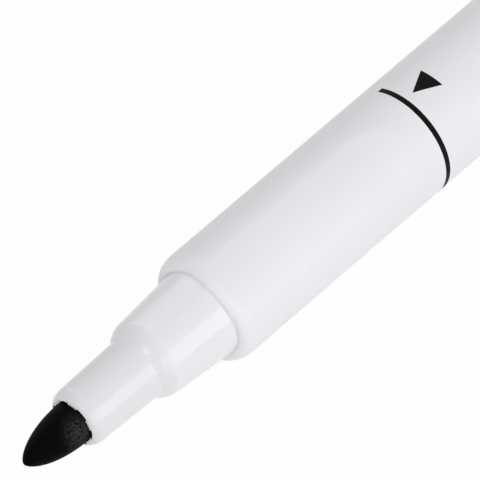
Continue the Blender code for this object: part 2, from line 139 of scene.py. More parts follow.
def skin_piece(name, points, ends, material, body, node=None):
    """Mesh piece from a grid of points whose columns close on themselves.

    The rows' ends are "joined" into a ring, "flat" with a face over each, or a "point" where a row is one
    place. The piece rides on its body, wears the given material, and may stand for a node, whose part it
    hides.
    """
    rows, columns = points.shape[:2]
    number = np.arange(rows * columns).reshape(rows, columns)
    rings = np.vstack([number, number[:1]]) if ends == "joined" else number
    near, far = rings[:-1], rings[1:]
    faces = np.stack([near, np.roll(near, -1, axis=1), np.roll(far, -1, axis=1), far], axis=2)
    faces = faces.reshape(-1, 4).tolist()
    if ends == "flat":
        faces += [number[0, ::-1].tolist(), number[-1].tolist()]
    mesh = bpy.data.meshes.new(name)
    mesh.from_pydata(points.reshape(-1, 3), [], faces)
    shape = bmesh.new()
    shape.from_mesh(mesh)
    bmesh.ops.remove_doubles(shape, verts=shape.verts, dist=merge_distance)
    bmesh.ops.recalc_face_normals(shape, faces=shape.faces)
    shape.to_mesh(mesh)
    shape.free()
    mesh.shade_smooth()
    mesh.set_sharp_from_angle(angle=sharp_angle)
    mesh.materials.append(material)
    piece = bpy.data.objects.new(name, mesh)
    bpy.context.scene.collection.objects.link(piece)
    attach(piece, body)
    if node:
        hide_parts(node)


def new_material(name):
    """New material, with its node tree and its main shader."""
    material = bpy.data.materials.new(name)
    material.use_nodes = True
    tree = material.node_tree
    return material, tree, tree.nodes["Principled BSDF"]


def set_inputs(node, values):
    """Plain values for some of a shader node's inputs, by their names or numbers."""
    for key, value in values.items():
        node.inputs[key].default_value = value


def add_node(tree, kind, values=None, **settings):
    """New shader node with some of its properties and input values set."""
    node = tree.nodes.new(kind)
    for name, setting in settings.items():
        setattr(node, name, setting)
    set_inputs(node, values or {})
    return node


def noise_of_size(tree, size, detail):
    """Noise on Object coordinates whose blotches are about the given size across."""
    place = add_node(tree, "ShaderNodeTexCoord")
    noise = add_node(tree, "ShaderNodeTexNoise", {"Scale": 1.0 / size, "Detail": detail})
    tree.links.new(place.outputs["Object"], noise.inputs["Vector"])
    return noise.outputs["Fac"]


def moulded_skin_group():
    """Node group for moulded plastic: cloudy tone, uneven gloss and a fine grain from the mould's steel.

    Colour = tone x (1 + shift x cloud), roughness = gloss + shift x cloud and height = grain, where each
    cloud runs from -1 to 1.
    """
    group = bpy.data.node_groups.new("moulded_skin", "ShaderNodeTree")
    sockets = (("INPUT", "Tone", "Color"), ("INPUT", "Tone Shift", "Float"),
               ("INPUT", "Roughness", "Float"), ("INPUT", "Roughness Shift", "Float"),
               ("OUTPUT", "Colour", "Color"), ("OUTPUT", "Roughness", "Float"),
               ("OUTPUT", "Height", "Float"))
    for way, name, kind in sockets:
        group.interface.new_socket(name, in_out=way, socket_type="NodeSocket" + kind)
    given = add_node(group, "NodeGroupInput")
    result = add_node(group, "NodeGroupOutput")
    swing = []
    for size in (tone_cloud, gloss_cloud):
        spread = add_node(group, "ShaderNodeMapRange", {
            "From Min": cloud_low, "From Max": cloud_high, "To Min": -1.0, "To Max": 1.0})
        group.links.new(noise_of_size(group, size, detail=2.0), spread.inputs["Value"])
        swing.append(spread.outputs["Result"])
    factor = add_node(group, "ShaderNodeMath", {2: 1.0}, operation="MULTIPLY_ADD")
    group.links.new(swing[0], factor.inputs[0])
    group.links.new(given.outputs["Tone Shift"], factor.inputs[1])
    tint = add_node(group, "ShaderNodeVectorMath", operation="SCALE")
    group.links.new(given.outputs["Tone"], tint.inputs[0])
    group.links.new(factor.outputs[0], tint.inputs["Scale"])
    gloss = add_node(group, "ShaderNodeMath", operation="MULTIPLY_ADD")
    group.links.new(swing[1], gloss.inputs[0])
    group.links.new(given.outputs["Roughness Shift"], gloss.inputs[1])
    group.links.new(given.outputs["Roughness"], gloss.inputs[2])
    group.links.new(tint.outputs[0], result.inputs["Colour"])
    group.links.new(gloss.outputs[0], result.inputs["Roughness"])
    group.links.new(noise_of_size(group, mould_grain, detail=3.0), result.inputs["Height"])
    return group


moulded_skin = moulded_skin_group()


def moulded_plastic(name, tone, tone_shift, roughness, roughness_shift, grain, sheen):
    """Plastic with the moulded skin.

    The grain stands out by a height in metres, and the sheen is how much the plastic mirrors.
    """
    material, tree, shader = new_material(name)
    skin = add_node(tree, "ShaderNodeGroup", node_tree=moulded_skin)
    set_inputs(skin, {"Tone": (*tone, 1.0), "Tone Shift": tone_shift,
                      "Roughness": roughness, "Roughness Shift": roughness_shift})
    bump = add_node(tree, "ShaderNodeBump", {"Strength": 1.0, "Distance": grain})
    set_inputs(shader, {"Specular IOR Level": sheen})
    tree.links.new(skin.outputs["Colour"], shader.inputs["Base Color"])
    tree.links.new(skin.outputs["Roughness"], shader.inputs["Roughness"])
    tree.links.new(skin.outputs["Height"], bump.inputs["Height"])
    tree.links.new(bump.outputs["Normal"], shader.inputs["Normal"])
    return material


def grip_reach(x, turn):
    """Distance from the axis to the nearest grip flat.

    A flat is an arc of radius c about a point e from the axis, so at angle d from its middle
    r = e cos d + sqrt(c^2 - e^2 sin^2 d). Behind the floor, e rises by s^2 / 2R to run the flat out,
    until it is well clear of the tube.
    """
    half = 0.5 * grip_width
    crown = barrel_radius - grip_depth - math.sqrt(barrel_radius ** 2 - half ** 2)
    arc = (half ** 2 + crown ** 2) / (2.0 * crown)
    rise = np.maximum(x - grip_floor_end, 0.0) ** 2 / (2.0 * grip_runout_radius)
    offset = barrel_radius - grip_depth - arc + np.minimum(rise, grip_clear_rise)
    angle = from_nearest(turn, grip_turn, grip_flats)
    return offset * np.cos(angle) + np.sqrt(arc ** 2 - (offset * np.sin(angle)) ** 2)


def barrel_outside():
    """Outer rows (x, r) from the mouth over the shoulder to the rear, closest where the form changes."""
    along = np.unique(np.concatenate([
        np.linspace(barrel_front + shoulder_length, close_rows_end, num=90),
        sleeve_line + sleeve_line_width * np.linspace(-3.0, 3.0, num=25),
        np.linspace(wide_rows_start, barrel_rear - rear_edge, num=40),
    ]))
    tube = np.column_stack([along, np.full(along.shape, barrel_radius)])
    rim = (barrel_front, mouth_radius + mouth_rim)
    mouth = straight((barrel_front + mouth_lead_in, mouth_radius), rim, mouth_lead_steps)
    shoulder = quarter_round(rim, (along[0], barrel_radius), steps=26)
    rear = quarter_round((barrel_rear, barrel_radius - rear_edge), (along[-1], barrel_radius), steps=6)
    return np.vstack([mouth, shoulder[1:-1], tube, rear[::-1][1:]])


def barrel_points():
    """Grid of the barrel: the outer rows cut by the grip flats and the sleeve line, then the ribbed bore.

    The rim at the mouth comes forward by (1 + cos) / 2 of a small wave in the middle of each flat, and the
    lead-in cuts it wider there.
    """
    turn = turns_round(barrel_columns)
    outside = barrel_outside()
    x, r = outside[:, :1], outside[:, 1:]
    cut = soft_least(r, grip_reach(x, turn), grip_edge_blend)
    line = sleeve_line_depth * np.exp(-((x - sleeve_line) / sleeve_line_width) ** 2)
    crest = 0.5 + 0.5 * np.cos(grip_flats * (turn - grip_turn))
    near_mouth = np.where(x < grip_floor_end, (barrel_radius - r) / (barrel_radius - mouth_radius), 0.0)
    in_lead = np.arange(len(outside))[:, None] <= mouth_lead_steps
    lead = np.where(in_lead, mouth_rim_least + (1.0 - mouth_rim_least) * crest, 1.0)
    front = barrel_front + (x - barrel_front) * lead - mouth_wave * near_mouth * crest
    cut = np.where(in_lead, mouth_radius + (cut - mouth_radius) * lead, cut)
    inside = np.array([
        (barrel_rear, counterbore_radius),
        (reservoir_high.x, counterbore_radius),
        (reservoir_high.x, bore_radius),
        (reservoir_low.x, bore_radius),
        (reservoir_low.x, counterbore_radius),
        (barrel_front + mouth_cone_depth, counterbore_radius),
        (barrel_front + mouth_depth, mouth_radius),
    ])
    side = bore_radius * np.abs(from_nearest(turn, 0.0, barrel_ribs))
    rib = rib_height * np.clip((0.5 * rib_width + rib_flank - side) / rib_flank, 0.0, 1.0)
    ribbed = np.isclose(inside[:, 1:], bore_radius)
    stations = np.vstack([front, np.broadcast_to(inside[:, :1], (len(inside), barrel_columns))])
    radii = np.vstack([cut - line, inside[:, 1:] - ribbed * rib])
    return round_axis(stations, radii, turn)


satin_white = moulded_plastic("barrel_satin_white", tone=(0.860, 0.855, 0.887), tone_shift=0.006,
                              roughness=0.40, roughness_shift=0.03, grain=0.0012 * mm, sheen=0.32)
skin_piece("barrel_skin", barrel_points(), "joined", satin_white, "marker", "barrel")

# Barrel print: a black ring and a triangle that points at the nib, pad-printed on the satin plastic.
# The film of ink is a few hundredths of a millimetre thick and follows the barrel's curve.
print_lift = 0.006 * mm
print_sink = 0.02 * mm
print_patch = 0.9 * mm
print_full = (0.003, 0.003, 0.003, 1.0)
print_thin = (0.008, 0.008, 0.008, 1.0)
ring_middle = barrel_front + 29.2 * mm
ring_width = 0.60 * mm
ring_start = math.radians(-28.6)
ring_sweep = math.radians(316)
ring_skew = 0.05 * mm
triangle_tip = barrel_front + 30.54 * mm
triangle_base = barrel_front + 33.38 * mm
triangle_turn = math.radians(1.31)
triangle_half = math.radians(13.2)
triangle_blunt = 0.004


def ink_film(x, turn):
    """Closed film over a grid of places on the barrel: each row's upper points, then its lower ones back."""
    upper = round_axis(x, barrel_radius + print_lift, turn)
    lower = round_axis(x, barrel_radius - print_sink, turn)
    return np.concatenate([upper, lower[:, ::-1]], axis=1)


def ring_points():
    """Ring: a short stretch along the axis at each of many turns, set askew by a sine of the turn."""
    turn = ring_start + ring_sweep * np.linspace(0.0, 1.0, num=260)[:, None]
    askew = ring_skew * np.sin(turn - grip_turn)
    x = ring_middle - askew + ring_width * np.linspace(-0.5, 0.5, num=4)[None, :]
    return ink_film(x, turn)


def triangle_points():
    """Triangle: turn = middle + half-width x share, the share growing from the blunt tip to the base."""
    share = np.linspace(triangle_blunt, 1.0, num=40)[:, None]
    x = triangle_tip + (triangle_base - triangle_tip) * share
    turn = triangle_turn + triangle_half * share * np.linspace(-1.0, 1.0, num=17)[None, :]
    return ink_film(x, turn)


def shade_between(tree, value, dark, light, dark_at=0.0, light_at=1.0):
    """Colour that runs from a dark to a light one as a value goes from one level to another."""
    ramp = add_node(tree, "ShaderNodeValToRGB")
    for stop, colour, level in zip(ramp.color_ramp.elements, (dark, light), (dark_at, light_at)):
        stop.position = level
        stop.color = colour
    tree.links.new(value, ramp.inputs["Fac"])
    return ramp.outputs["Color"]


def printing_ink():
    """Dry black ink: near black, with a little uneven cover and a dull gloss."""
    material, tree, shader = new_material("printed_black_ink")
    patch = noise_of_size(tree, print_patch, detail=3.0)
    cover = shade_between(tree, patch, print_full, print_thin, dark_at=0.35, light_at=0.75)
    tree.links.new(cover, shader.inputs["Base Color"])
    set_inputs(shader, {"Roughness": 0.55, "Specular IOR Level": 0.06})
    return material


black_print = printing_ink()
skin_piece("barrel_ring_print", ring_points(), "flat", black_print, "marker")
skin_piece("barrel_triangle_print", triangle_points(), "flat", black_print, "marker")

# Reservoir: a bundle of fibre soaked with black ink, wrapped in clear plastic film and pushed into the
# barrel. Both are closed in there, so their own solids stay and only their finish is made here.
fibre_width = 0.15 * mm
fibre_stretch = (0.05, 1.0, 1.0)
fibre_height = 0.03 * mm
fibre_dark = (0.012, 0.012, 0.014, 1.0)
fibre_light = (0.06, 0.06, 0.068, 1.0)
film_patch = 2.0 * mm
film_tone = (0.9, 0.92, 0.94, 1.0)


def fibre_bundle():
    """Ink-soaked fibre: fine streaks along the axis in colour and height."""
    material, tree, shader = new_material("ink_fibre_bundle")
    place = add_node(tree, "ShaderNodeTexCoord")
    stretch = add_node(tree, "ShaderNodeMapping", {"Scale": fibre_stretch})
    streak = add_node(tree, "ShaderNodeTexNoise", {"Scale": 1.0 / fibre_width, "Detail": 4.0})
    shade = shade_between(tree, streak.outputs["Fac"], fibre_dark, fibre_light)
    bump = add_node(tree, "ShaderNodeBump", {"Distance": fibre_height})
    tree.links.new(place.outputs["Object"], stretch.inputs["Vector"])
    tree.links.new(stretch.outputs["Vector"], streak.inputs["Vector"])
    tree.links.new(shade, shader.inputs["Base Color"])
    tree.links.new(streak.outputs["Fac"], bump.inputs["Height"])
    tree.links.new(bump.outputs["Normal"], shader.inputs["Normal"])
    set_inputs(shader, {"Roughness": 0.8})
    return material


def clear_wrap():
    """Thin clear film with a slightly uneven gloss."""
    material, tree, shader = new_material("clear_wrap_film")
    gloss = add_node(tree, "ShaderNodeMapRange", {"To Min": 0.06, "To Max": 0.2})
    tree.links.new(noise_of_size(tree, film_patch, detail=2.0), gloss.inputs["Value"])
    tree.links.new(gloss.outputs["Result"], shader.inputs["Roughness"])
    set_inputs(shader, {"Base Color": film_tone, "Transmission Weight": 0.9, "IOR": 1.49})
    return material


for node_name, finish in (("reservoir_core", fibre_bundle()), ("reservoir_film", clear_wrap())):
    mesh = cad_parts[node_name].data
    mesh.materials.clear()
    mesh.materials.append(finish)

# Nose: one glossy white moulding. A thin sleeve holds the nib between air grooves, a short cone leads up to
# the tapered seat that the cap grips, and the spigot behind it clicks into the barrel.
nose_low, nose_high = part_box("nib_holder")
nose_front = nose_low.x
nose_end = nose_high.x
nose_columns = 288
sleeve_front_radius = 3.14 * mm
sleeve_rear_radius = 3.32 * mm
# Factor on the colour in front of the seat: the inked nib greys the thin sleeve, and painted shade darkens
# the step's cone, which faces the front.
sleeve_see_through_and_painted_shade = 0.955
lip_face_radius = 2.30 * mm
lip_round = 1.4 * mm
lip_inner_edge = 0.05 * mm
# Further factor on the lip's colour: painted shade, darker where the lip faces the front.
lip_painted_shade = 0.945
step_start = nose_front + 8.66 * mm
step_end = nose_front + 10.59 * mm
step_fillet = 0.15 * mm
step_foot = 0.55 * mm
step_foot_fade = 1.5 * step_foot
step_foot_slope = 1.3
step_round = 0.9 * mm
step_end_slope = 0.11
seat_small_radius = 4.226 * mm
seat_wide_radius = 4.764 * mm
bead_height = 0.20 * mm
bead_half = 0.5 * mm
spigot_bead = 0.5 * (barrel_front + nose_end)
socket_radius = 2.235 * mm
socket_front = nose_front + 2.0 * lip_round
socket_end = nose_end - 6.75 * mm
cavity_radius = 3.864 * mm
cavity_cone_end = nose_end - 5.5 * mm
air_grooves = 6
air_groove_turn = math.radians(30)
air_groove_half = math.radians(17)
air_groove_flank = math.radians(1.2)
air_groove_radius = 2.48 * mm


def bead_rows(middle, radius):
    """Snap bead: r = radius + height x (1 + cos) / 2 across its length."""
    t = np.linspace(-math.pi, math.pi, num=9)
    x = middle + bead_half * t / math.pi
    r = radius + 0.5 * bead_height * (1.0 + np.cos(t))
    return np.column_stack([x, r])


def step_rows():
    """Step as rows of (x, r), from the sleeve up to the seat.

    Its slope ramps up over a fillet, is steeper along the foot, holds along the cone, and ramps down to the
    seat's in the round at its top. The heights are the running sum of the slope, scaled to the climb.
    """
    x = np.linspace(step_start, step_end, num=61)
    stations = [step_start, step_start + step_fillet, step_start + step_foot,
                step_start + step_foot_fade, step_end - step_round, step_end]
    slope = np.interp(x, stations, [0.0, step_foot_slope, step_foot_slope, 1.0, 1.0, step_end_slope])
    climb = np.append(0.0, np.cumsum(0.5 * (slope[1:] + slope[:-1])))
    r = sleeve_rear_radius + (seat_small_radius - sleeve_rear_radius) * climb / climb[-1]
    return np.column_stack([x, r])


def nose_points():
    """Grid of the nose, with columns close at the grooves' edges.

    At the lip and in the socket each row stands back to the air grooves where they run.
    """
    flanks = air_groove_flank * np.array([-0.5, 0.0, 0.5])
    sides = air_groove_half * np.array([-1.0, 1.0])
    middles = air_groove_turn + turns_round(air_grooves)
    edges = np.add.outer(np.add.outer(flanks, sides), middles) % math.tau
    turn = np.unique(np.concatenate([turns_round(nose_columns), edges.ravel()]))
    lip = quarter_round((nose_front, lip_face_radius),
                        (nose_front + lip_round, sleeve_front_radius), steps=20)
    inner_edge = quarter_round((nose_front, socket_radius + lip_inner_edge),
                               (nose_front + lip_inner_edge, socket_radius), steps=4)
    step = step_rows()
    outside = np.vstack([
        lip,
        straight(lip[-1], step[0], steps=24)[1:-1],
        step,
        straight(step[-1], (barrel_front, seat_wide_radius), steps=20)[1:],
        bead_rows(spigot_bead, seat_wide_radius),
        [(nose_end, seat_wide_radius)],
    ])
    inside = np.vstack([
        [(nose_end, cavity_radius), (cavity_cone_end, cavity_radius)],
        straight((socket_end, socket_radius), (socket_front, socket_radius), steps=6),
        straight((socket_front, socket_radius), inner_edge[-1], steps=8)[1:],
        inner_edge[::-1][1:],
    ])
    rows = np.vstack([outside, inside])
    x, r = rows[:, :1], rows[:, 1:]
    off = np.abs(from_nearest(turn, air_groove_turn, air_grooves))
    groove = np.clip((air_groove_half - off) / air_groove_flank + 0.5, 0.0, 1.0)
    floor = socket_radius + (air_groove_radius - socket_radius) * groove
    radii = np.maximum(r, floor)
    lip_station = np.interp(radii, lip[:, 1], lip[:, 0])
    stations = np.where(x < nose_front + lip_round, np.maximum(x, lip_station), x)
    return round_axis(stations, radii, turn)


def scaled_along_axis(tree, colour, start, end, first):
    """Colour times a factor that goes smoothly from a first value at one station to 1 at another."""
    place = add_node(tree, "ShaderNodeTexCoord")
    split = add_node(tree, "ShaderNodeSeparateXYZ")
    factor = add_node(tree, "ShaderNodeMapRange", {
        "From Min": start, "From Max": end, "To Min": first, "To Max": 1.0}, interpolation_type="SMOOTHSTEP")
    scale = add_node(tree, "ShaderNodeVectorMath", operation="SCALE")
    tree.links.new(place.outputs["Object"], split.inputs["Vector"])
    tree.links.new(split.outputs["X"], factor.inputs["Value"])
    tree.links.new(colour, scale.inputs[0])
    tree.links.new(factor.outputs["Result"], scale.inputs["Scale"])
    return scale.outputs["Vector"]


def nose_plastic():
    """Glossy white plastic: the inked nib shows grey through the thin sleeve; painted shade darkens cone and
    lip.
    """
    material = moulded_plastic("nose_gloss_white", tone=(0.836, 0.830, 0.861), tone_shift=0.006,
                               roughness=0.10, roughness_shift=0.02, grain=0.0004 * mm, sheen=0.48)
    tree = material.node_tree
    base = tree.nodes["Principled BSDF"].inputs["Base Color"]
    tone = base.links[0].from_socket
    # Darker in front of the seat: the nib seen through the sleeve, and painted shade on the step's cone.
    shaded = scaled_along_axis(tree, tone, step_end - step_round, step_end, sleeve_see_through_and_painted_shade)
    # Painted shade: the lip is darker still.
    shaded = scaled_along_axis(tree, shaded, nose_front, nose_front + lip_round, lip_painted_shade)
    tree.links.new(shaded, base)
    return material


skin_piece("nose_skin", nose_points(), "joined", nose_plastic(), "marker", "nib_holder")

# Nib: a rod of bonded polyester fibre, ground to a bullet and black with ink. It is a push fit in the nose,
# and its tapered tail draws ink from the reservoir.
nib_low, nib_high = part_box("nib")
nib_tip_extra = 0.02 * mm
nib_tip = nib_low.x - nib_tip_extra
nib_end = nib_high.x
nib_radius = 2.228 * mm
nib_ogive = 6.72 * mm
nib_ogive_power = 0.645
nib_blunt = 0.6 * mm
nib_tail_length = 2.5 * mm
nib_tail_radius = 1.5 * mm
nib_columns = 220
nib_seed = 11
pit_depth = 0.022 * mm
pit_rows = 1.6
pit_columns = 1.2
pit_level = 0.9
# Painted light: the lit flank near the nib's base is painted greyer round this place, fading over this
# reach.
lit_flank_place = nib_tip + 5.7 * mm
lit_flank_turn = math.radians(58)
lit_flank_reach = 2.4 * mm
painted_light_grey = (0.036, 0.036, 0.036, 1.0)
soaked_black = (0.0012, 0.0012, 0.0012, 1.0)
felt_speck = 0.22 * mm
felt_pore = 0.5 * mm
felt_height = 0.04 * mm


def blurred_noise(rows, columns, across_rows, across_columns, seed):
    """Seeded noise from about -3 to 3, smoothed by a Gaussian of given widths in rows and columns."""
    grains = np.random.default_rng(seed).standard_normal((rows, columns))
    row_wave = np.fft.fftfreq(rows)[:, None] * across_rows
    column_wave = np.fft.fftfreq(columns)[None, :] * across_columns
    smooth = np.exp(-2.0 * math.pi ** 2 * (row_wave ** 2 + column_wave ** 2))
    field = np.fft.ifft2(np.fft.fft2(grains) * smooth).real
    return field / field.std()


def nib_points():
    """Bullet nib: r = R (1 - (1 - s)^2)^p, where s is the share of the ogive's length.

    The lowest parts of a blurred noise sink shallow pits into it, which fade out at the tip.
    """
    share = np.linspace(0.0, 1.0, num=150) ** 2
    bullet = np.column_stack([nib_tip + nib_ogive * share,
                              nib_radius * (1.0 - (1.0 - share) ** 2) ** nib_ogive_power])
    tail = straight((nib_end - nib_tail_length, nib_radius), (nib_end, nib_tail_radius), steps=4)
    rows = np.vstack([
        bullet,
        straight(bullet[-1], tail[0], steps=30)[1:-1],
        tail,
        [(nib_end, 0.0)],
    ])
    x, r = rows[:, :1], rows[:, 1:]
    pits = blurred_noise(len(rows), nib_columns, pit_rows, pit_columns, nib_seed)
    fade = np.clip(r / nib_blunt, 0.0, 1.0)
    radii = r + pit_depth * fade * np.minimum(pits + pit_level, 0.0)
    return round_axis(x, radii, turns_round(nib_columns))


def inked_felt():
    """Felt soaked in black ink, with fibre specks and pores that vary its colour and height.

    The flank that faces the light near the base is painted greyer, a painted light and sheen, by a mask that
    falls off smoothly with the distance from its middle.
    """
    material, tree, shader = new_material("nib_inked_felt")
    place = add_node(tree, "ShaderNodeTexCoord")
    # Painted light: a grey patch on the lit flank, fading with the distance from its middle.
    from_lit_flank = add_node(tree, "ShaderNodeVectorMath", {1: round_axis(lit_flank_place, nib_radius, lit_flank_turn)},
                         operation="DISTANCE")
    lit_flank_mask = add_node(tree, "ShaderNodeMapRange", {"From Max": lit_flank_reach, "To Min": 1.0, "To Max": 0.0},
                    interpolation_type="SMOOTHSTEP")
    soaked_and_painted_light = add_node(tree, "ShaderNodeMix", {"A": soaked_black, "B": painted_light_grey}, data_type="RGBA")
    depth = add_node(tree, "ShaderNodeMapRange", {
        "From Min": 0.35, "From Max": 0.62, "To Min": 0.3, "To Max": 1.3})
    pore = add_node(tree, "ShaderNodeTexVoronoi", {"Scale": 1.0 / felt_pore})
    hollow = add_node(tree, "ShaderNodeMapRange", {"From Min": 0.16, "From Max": 0.34, "To Min": 0.1})
    both = add_node(tree, "ShaderNodeMath", operation="MULTIPLY")
    shade = add_node(tree, "ShaderNodeVectorMath", operation="SCALE")
    bump = add_node(tree, "ShaderNodeBump", {"Strength": 0.7, "Distance": felt_height})
    tree.links.new(place.outputs["Object"], from_lit_flank.inputs[0])
    tree.links.new(from_lit_flank.outputs["Value"], lit_flank_mask.inputs["Value"])
    tree.links.new(lit_flank_mask.outputs["Result"], soaked_and_painted_light.inputs["Factor"])
    tree.links.new(noise_of_size(tree, felt_speck, detail=4.0), depth.inputs["Value"])
    tree.links.new(place.outputs["Object"], pore.inputs["Vector"])
    tree.links.new(pore.outputs["Distance"], hollow.inputs["Value"])
    tree.links.new(depth.outputs["Result"], both.inputs[0])
    tree.links.new(hollow.outputs["Result"], both.inputs[1])
    tree.links.new(both.outputs[0], bump.inputs["Height"])
    tree.links.new(soaked_and_painted_light.outputs["Result"], shade.inputs[0])
    tree.links.new(both.outputs[0], shade.inputs["Scale"])
    tree.links.new(shade.outputs["Vector"], shader.inputs["Base Color"])
    tree.links.new(bump.outputs["Normal"], shader.inputs["Normal"])
    set_inputs(shader, {"Roughness": 0.6, "Specular IOR Level": 0.03})
    return material


skin_piece("nib_felt", nib_points(), "point", inked_felt(), "marker", "nib")

# Tail plug: a hollow black moulding that closes the barrel. Its spigot clicks into the tube, its flange lies
# flush with it, and the post behind carries the same tapered seat as the nose, to hold the cap.
plug_low, plug_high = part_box("tail_plug")
plug_front = plug_low.x
plug_end = plug_high.x
plug_columns = 144
plug_wall = 0.85 * mm
plug_end_wall = 1.7 * mm
spigot_round = 0.1 * mm
flange_gap = 0.25 * mm
flange_front = barrel_rear + flange_gap
flange_end = flange_front + 1.5 * mm
flange_round = 0.6 * mm
post_round = 1.2 * mm
plug_bead = 0.5 * (plug_front + barrel_rear)


def plug_points():
    """Grid of the plug, from the end of its hollow, round the spigot and flange, to the end of its post."""
    hollow_end = plug_end - plug_end_wall
    spigot_edge = quarter_round((plug_front, seat_wide_radius - spigot_round),
                                (plug_front + spigot_round, seat_wide_radius), steps=3)
    flange_front_edge = quarter_round((flange_front, barrel_radius - rear_edge),
                                      (flange_front + rear_edge, barrel_radius), steps=6)
    flange_rear_edge = quarter_round((flange_end, barrel_radius - flange_round),
                                     (flange_end - flange_round, barrel_radius), steps=10)
    post_end = quarter_round((plug_end, sleeve_rear_radius),
                             (plug_end - post_round, seat_small_radius), steps=14)
    rows = np.vstack([
        [(hollow_end, 0.0), (hollow_end, seat_small_radius - plug_wall)],
        [(flange_end, seat_wide_radius - plug_wall), (plug_front, seat_wide_radius - plug_wall)],
        spigot_edge,
        bead_rows(plug_bead, seat_wide_radius),
        [(flange_front, seat_wide_radius)],
        flange_front_edge,
        flange_rear_edge[::-1],
        [(flange_end, seat_wide_radius)],
        post_end[::-1],
        [(plug_end, 0.0)],
    ])
    return round_axis(rows[:, :1], rows[:, 1:], turns_round(plug_columns))


gloss_black = moulded_plastic("cap_gloss_black", tone=(0.012, 0.012, 0.013), tone_shift=0.1,
                              roughness=0.2, roughness_shift=0.04, grain=0.0006 * mm, sheen=0.28)
skin_piece("tail_plug_skin", plug_points(), "point", gloss_black, "marker", "tail_plug")

# Cap seal: a milky plastic cup pressed into the cap. Its flange sits on a shoulder there, and its bore
# closes round the nose so that the ink does not dry.
seal_low, seal_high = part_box("cap_inner_seal")
seal_front = seal_low.x
seal_end = seal_high.x
seal_columns = 144
seal_radius = 4.12 * mm
seal_bore_radius = 3.47 * mm
seal_flange_end = seal_front + 1.0 * mm
seal_end_wall = 0.8 * mm
seal_end_round = 0.5 * mm
seal_lead_in = 0.3 * mm


def seal_points():
    """Grid of the cup, from the end of its bore, round its flange, to its closed end."""
    bore_end = seal_end - seal_end_wall
    lead_in = quarter_round((seal_front, seal_bore_radius + seal_lead_in),
                            (seal_front + seal_lead_in, seal_bore_radius), steps=6)
    end = quarter_round((seal_end, seal_radius - seal_end_round),
                        (seal_end - seal_end_round, seal_radius), steps=8)
    rows = np.vstack([
        [(bore_end, 0.0), (bore_end, seal_bore_radius)],
        lead_in[::-1],
        [(seal_front, seat_wide_radius), (seal_flange_end, seat_wide_radius)],
        [(seal_flange_end, seal_radius)],
        end[::-1],
        [(seal_end, 0.0)],
    ])
    return round_axis(rows[:, :1], rows[:, 1:], turns_round(seal_columns))


milky = moulded_plastic("seal_milky_plastic", tone=(0.80, 0.80, 0.77), tone_shift=0.02,
                        roughness=0.4, roughness_shift=0.04, grain=0.0008 * mm, sheen=0.45)
skin_piece("cap_seal_skin", seal_points(), "point", milky, "cap", "cap_inner_seal")

# Cap: a black moulding with a slight taper, pushed on the post at the tail. Inside the mouth is the bore
# that fits the seat, and a dimple in the closed end is left from the gate of the mould.
cap_low, cap_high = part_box("cap_shell")
cap_mouth = cap_low.x
cap_end = cap_high.x
cap_columns = 192
cap_end_radius = 5.75 * mm
cap_end_round = 1.0 * mm
cap_end_wall = 1.6 * mm
cap_mouth_round = 0.45 * mm
cap_mouth_chamfer = 0.3 * mm
cap_inner_radius = 4.37 * mm
cap_shoulder = cap_mouth + 10.39 * mm
gate_radius = 0.9 * mm
gate_floor_radius = 0.6 * gate_radius
gate_depth = 0.12 * mm


def cap_points():
    """Grid of the shell, from the end of its chamber, round the mouth, to the dimple at its closed end."""
    chamber_end = cap_end - cap_end_wall
    gate_floor = cap_end - gate_depth
    mouth = quarter_round((cap_mouth, barrel_radius - cap_mouth_round),
                          (cap_mouth + cap_mouth_round, barrel_radius), steps=8)
    end = quarter_round((cap_end, cap_end_radius - cap_end_round),
                        (cap_end - cap_end_round, cap_end_radius), steps=14)
    gate = quarter_round((gate_floor, gate_floor_radius), (cap_end, gate_radius), steps=5)
    rows = np.vstack([
        [(chamber_end, 0.0), (chamber_end, cap_inner_radius), (cap_shoulder, cap_inner_radius)],
        [(cap_shoulder, counterbore_radius), (cap_mouth + cap_mouth_chamfer, counterbore_radius)],
        [(cap_mouth, counterbore_radius + cap_mouth_chamfer)],
        mouth,
        straight(mouth[-1], end[-1], steps=12)[1:-1],
        end[::-1],
        gate[::-1],
        [(gate_floor, 0.0)],
    ])
    return round_axis(rows[:, :1], rows[:, 1:], turns_round(cap_columns))


skin_piece("cap_shell_skin", cap_points(), "point", gloss_black, "cap", "cap_shell")

# Clip: a springy tongue, moulded in one with the cap at its closed end. A bead under its tip grips the edge
# of a pocket.
clip_turn = math.radians(180.0 - 61.34)
clip_end = cap_end - 1.2 * mm
clip_length = 30.3 * mm
clip_start = clip_end - clip_length
clip_heel = clip_end - 2.8 * mm
clip_heel_round = 1.6 * mm
clip_tip_round = 0.6 * mm
clip_gap = 1.1 * mm
clip_thickness = 1.25 * mm
clip_foot_sink = 0.6 * mm
clip_inner = barrel_radius + clip_gap
clip_outer = clip_inner + clip_thickness
clip_foot = cap_end_radius - clip_foot_sink
clip_root_width = 4.8 * mm
clip_tip_width = 4.0 * mm
clip_edge_round = 0.45 * mm
clip_bead_length = 4.2 * mm
clip_bead_start = clip_start + clip_tip_round
clip_bead_end = clip_bead_start + clip_bead_length
clip_bead_depth = 0.85 * mm


